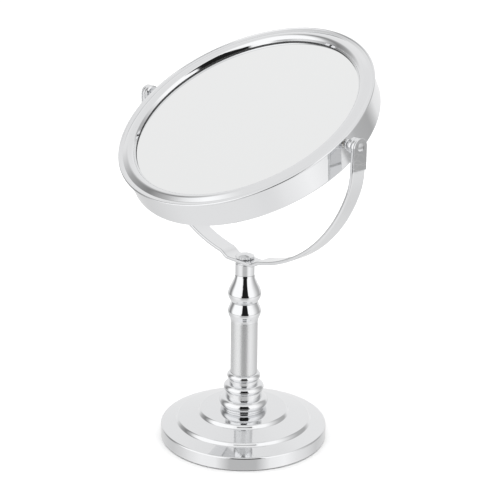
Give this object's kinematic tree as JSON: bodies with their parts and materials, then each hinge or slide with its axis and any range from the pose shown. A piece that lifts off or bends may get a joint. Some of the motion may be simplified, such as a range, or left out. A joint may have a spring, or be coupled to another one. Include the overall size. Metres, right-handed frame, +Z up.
{
  "type": "extendable shaving mirror",
  "caption": "Free-standing chrome shaving mirror: stepped round base, column with a sliding rod, swivelling U yoke and a round tilting two-sided mirror head.",
  "frame": {"origin": "centre of the face that the base stands on", "axes": "+Z up along the column; +X along the tilt axis through the two pivots; -Y towards the user"},
  "size_m": [0.208, 0.1687, 0.2879],
  "materials": {
    "polished_chrome": "polished decorative chrome plate on turned, spun and stamped metal",
    "satin_chrome": "satin chrome, fine brushing along the tube",
    "rod_chrome": "hard chrome, ground and polished",
    "mirror_glass": "clear flat or dished glass, silvered on its hidden side",
    "zinc_steel": "bright zinc plate",
    "spring_steel": "blued spring steel",
    "nylon": "natural nylon, as moulded",
    "weight_iron": "rough cast iron with black paint",
    "pad_foam": "black closed-cell foam, fine pores",
    "seal_rubber": "black rubber, smooth as extruded",
    "mounting_foam": "white closed-cell foam",
    "core_plastic": "white moulded polystyrene"
  },
  "bodies": {
    "pedestal": {"base_cover": "polished_chrome", "base_weight": "weight_iron", "base_pad": "pad_foam", "tie_bolt": "zinc_steel", "tie_washer": "zinc_steel", "collar": "polished_chrome", "column_tube": "satin_chrome", "tube_plug": "zinc_steel", "guide_bush": "nylon"},
    "rod": {"slide_rod": "rod_chrome", "slide_piston": "nylon", "rod_clips": "spring_steel", "lower_ferrule": "polished_chrome", "bell_neck": "polished_chrome", "swivel_washer": "polished_chrome", "cap_spring": "spring_steel", "cap_screw": "polished_chrome"},
    "yoke": {"yoke_strap": "polished_chrome", "end_plate_left": "polished_chrome", "end_plate_right": "polished_chrome", "spacer_left": "polished_chrome", "spacer_right": "polished_chrome", "pivot_pin_left": "polished_chrome", "pivot_pin_right": "polished_chrome", "pivot_springs": "spring_steel", "pivot_nuts": "zinc_steel"},
    "head": {"pivot_bush_left": "nylon", "pivot_bush_right": "nylon", "casing": "polished_chrome", "front_bezel": "polished_chrome", "front_glass": "mirror_glass", "glass_seal": "seal_rubber", "front_foam": "mounting_foam", "core_disc": "core_plastic", "rear_gasket": "mounting_foam", "rear_glass": "mirror_glass"}
  },
  "joints": [
    {"name": "rod_slide", "type": "slide", "parent": "pedestal", "child": "rod", "axis": [0, 0, 1], "range_m": [0, 0.04]},
    {"name": "yoke_swivel", "type": "hinge", "parent": "rod", "child": "yoke", "pos_m": [0, 0, 0.1345], "axis": [0, 0, 1], "continuous": true},
    {"name": "head_tilt", "type": "hinge", "parent": "yoke", "child": "head", "pos_m": [0, 0, 0.2368], "axis": [1, 0, 0], "continuous": true}
  ]
}
